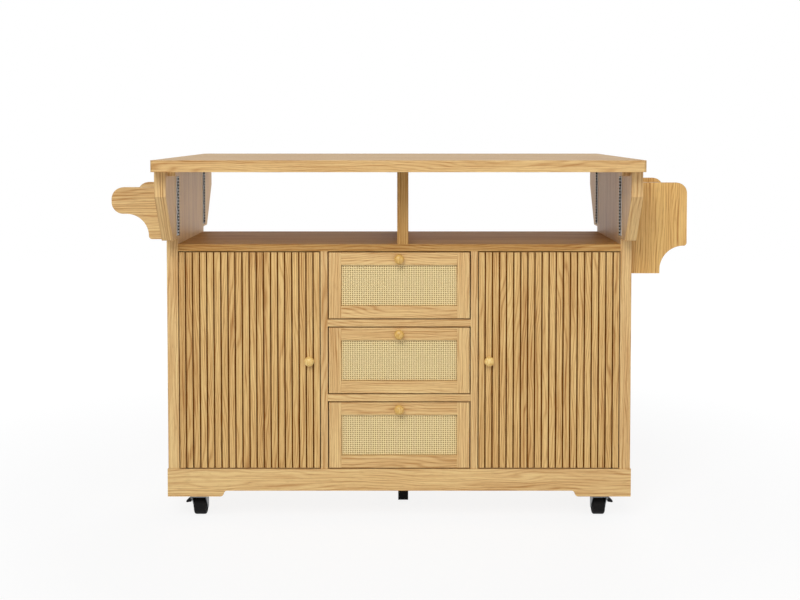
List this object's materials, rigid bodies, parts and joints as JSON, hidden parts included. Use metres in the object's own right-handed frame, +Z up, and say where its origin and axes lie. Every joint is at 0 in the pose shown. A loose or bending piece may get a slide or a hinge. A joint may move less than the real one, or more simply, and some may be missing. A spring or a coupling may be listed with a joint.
{
  "type": "kitchen island",
  "caption": "Wheeled kitchen island with slatted doors, cane-fronted drawers, an open bay, swing-out leaf brackets and a rack at each end.",
  "frame": {"origin": "on the floor under the middle of the cabinet", "axes": "+X to the right as seen from the front, +Y to the back, +Z up; doors and drawers face -Y"},
  "size_m": [1.474, 0.8, 0.93],
  "materials": {
    "oak_laminate": "oak-look laminate with upright grain, satin",
    "oak_worktop": "oak-look worktop board, satin lacquer",
    "drawer_board": "pale melamine-faced board",
    "turned_beech": "turned and varnished",
    "woven_cane": "open weave of split cane on a pale liner",
    "zinc_steel": "zinc-plated pressed steel",
    "black_rubber": "moulded, matte",
    "black_plastic": "moulded, fine grain",
    "black_paint": "square post, matt black lacquer"
  },
  "bodies": {
    "cabinet": {"back_panel": "oak_laminate", "bottom_board": "oak_laminate", "bracket_hinges": "zinc_steel", "caster_plates": "zinc_steel", "centre_leg": "black_paint", "corner_blocks": "oak_laminate", "door_pivot_pins": "zinc_steel", "drawer_rails": "oak_laminate", "drawer_runners": "zinc_steel", "loose_shelves": "oak_laminate", "open_shelf_board": "oak_laminate", "open_shelf_divider": "oak_laminate", "partitions": "oak_laminate", "plinth_front_board": "oak_laminate", "plinth_rear_board": "oak_laminate", "plinth_side_boards": "oak_laminate", "rack_left_end_panels": "oak_laminate", "rack_left_roll_bar": "oak_laminate", "rack_mounting_boards": "oak_laminate", "rack_right_end_panels": "oak_laminate", "rack_right_hanging_bar": "oak_laminate", "rack_right_rest_slats": "oak_laminate", "rack_right_shelf_and_guard": "oak_laminate", "shelf_pins": "zinc_steel", "side_panel_left": "oak_laminate", "side_panel_right": "oak_laminate", "worktop_centre_board": "oak_worktop", "worktop_front_leaf": "oak_worktop", "worktop_rear_leaf": "oak_worktop", "worktop_seam_hinges": "zinc_steel"},
    "left_door": {"door_left": "oak_laminate", "door_left_knob": "turned_beech"},
    "right_door": {"door_right": "oak_laminate", "door_right_knob": "turned_beech"},
    "bottom_drawer": {"drawer_bottom_front_frame": "oak_laminate", "drawer_bottom_cane_panel": "woven_cane", "drawer_bottom_box": "drawer_board", "drawer_bottom_knob": "turned_beech"},
    "middle_drawer": {"drawer_middle_front_frame": "oak_laminate", "drawer_middle_cane_panel": "woven_cane", "drawer_middle_box": "drawer_board", "drawer_middle_knob": "turned_beech"},
    "top_drawer": {"drawer_top_front_frame": "oak_laminate", "drawer_top_cane_panel": "woven_cane", "drawer_top_box": "drawer_board", "drawer_top_knob": "turned_beech"},
    "front_left_bracket": {"bracket_front_left": "oak_laminate"},
    "front_left_swivel": {"caster_fork_front_left": "zinc_steel"},
    "front_left_wheel": {"caster_wheel_front_left": "black_rubber"},
    "front_right_bracket": {"bracket_front_right": "oak_laminate"},
    "front_right_swivel": {"caster_fork_front_right": "zinc_steel"},
    "front_right_wheel": {"caster_wheel_front_right": "black_rubber"},
    "rear_left_bracket": {"bracket_rear_left": "oak_laminate"},
    "rear_left_swivel": {"caster_fork_rear_left": "zinc_steel"},
    "rear_left_wheel": {"caster_wheel_rear_left": "black_rubber"},
    "rear_right_bracket": {"bracket_rear_right": "oak_laminate"},
    "rear_right_swivel": {"caster_fork_rear_right": "zinc_steel"},
    "rear_right_wheel": {"caster_wheel_rear_right": "black_rubber"},
    "left_brake": {"brake_pedal_left": "black_plastic"},
    "right_brake": {"brake_pedal_right": "black_plastic"}
  },
  "joints": [
    {"name": "left_door_hinge", "type": "hinge", "parent": "cabinet", "child": "left_door", "pos_m": [-0.5415, -0.191, 0.415], "axis": [0, 0, -1], "range_deg": [0, 95]},
    {"name": "right_door_hinge", "type": "hinge", "parent": "cabinet", "child": "right_door", "pos_m": [0.5415, -0.191, 0.415], "axis": [0, 0, 1], "range_deg": [0, 95]},
    {"name": "bottom_drawer_slide", "type": "slide", "parent": "cabinet", "child": "bottom_drawer", "axis": [0, -1, 0], "range_m": [0, 0.25]},
    {"name": "middle_drawer_slide", "type": "slide", "parent": "cabinet", "child": "middle_drawer", "axis": [0, -1, 0], "range_m": [0, 0.25]},
    {"name": "top_drawer_slide", "type": "slide", "parent": "cabinet", "child": "top_drawer", "axis": [0, -1, 0], "range_m": [0, 0.25]},
    {"name": "front_left_bracket_hinge", "type": "hinge", "parent": "cabinet", "child": "front_left_bracket", "pos_m": [-0.5593, -0.2, 0.8095], "axis": [0, 0, 1], "range_deg": [0, 90]},
    {"name": "front_left_swivel_turn", "type": "hinge", "parent": "cabinet", "child": "front_left_swivel", "pos_m": [-0.518, -0.154, 0.06], "axis": [0, 0, 1], "continuous": true},
    {"name": "front_left_wheel_spin", "type": "hinge", "parent": "front_left_swivel", "child": "front_left_wheel", "pos_m": [-0.518, -0.134, 0.025], "axis": [1, 0, 0], "continuous": true},
    {"name": "front_right_bracket_hinge", "type": "hinge", "parent": "cabinet", "child": "front_right_bracket", "pos_m": [0.5593, -0.2, 0.8095], "axis": [0, 0, -1], "range_deg": [0, 90]},
    {"name": "front_right_swivel_turn", "type": "hinge", "parent": "cabinet", "child": "front_right_swivel", "pos_m": [0.518, -0.154, 0.06], "axis": [0, 0, 1], "continuous": true},
    {"name": "front_right_wheel_spin", "type": "hinge", "parent": "front_right_swivel", "child": "front_right_wheel", "pos_m": [0.518, -0.134, 0.025], "axis": [1, 0, 0], "continuous": true},
    {"name": "rear_left_bracket_hinge", "type": "hinge", "parent": "cabinet", "child": "rear_left_bracket", "pos_m": [-0.5593, 0.2, 0.8095], "axis": [0, 0, -1], "range_deg": [0, 90]},
    {"name": "rear_left_swivel_turn", "type": "hinge", "parent": "cabinet", "child": "rear_left_swivel", "pos_m": [-0.518, 0.154, 0.06], "axis": [0, 0, 1], "continuous": true},
    {"name": "rear_left_wheel_spin", "type": "hinge", "parent": "rear_left_swivel", "child": "rear_left_wheel", "pos_m": [-0.518, 0.134, 0.025], "axis": [1, 0, 0], "continuous": true},
    {"name": "rear_right_bracket_hinge", "type": "hinge", "parent": "cabinet", "child": "rear_right_bracket", "pos_m": [0.5593, 0.2, 0.8095], "axis": [0, 0, 1], "range_deg": [0, 90]},
    {"name": "rear_right_swivel_turn", "type": "hinge", "parent": "cabinet", "child": "rear_right_swivel", "pos_m": [0.518, 0.154, 0.06], "axis": [0, 0, 1], "continuous": true},
    {"name": "rear_right_wheel_spin", "type": "hinge", "parent": "rear_right_swivel", "child": "rear_right_wheel", "pos_m": [0.518, 0.134, 0.025], "axis": [1, 0, 0], "continuous": true},
    {"name": "left_brake_pedal", "type": "hinge", "parent": "front_left_swivel", "child": "left_brake", "pos_m": [-0.5405, -0.134, 0.044], "axis": [0, 1, 0], "range_deg": [0, 18]},
    {"name": "right_brake_pedal", "type": "hinge", "parent": "front_right_swivel", "child": "right_brake", "pos_m": [0.5405, -0.134, 0.044], "axis": [0, -1, 0], "range_deg": [0, 18]}
  ]
}
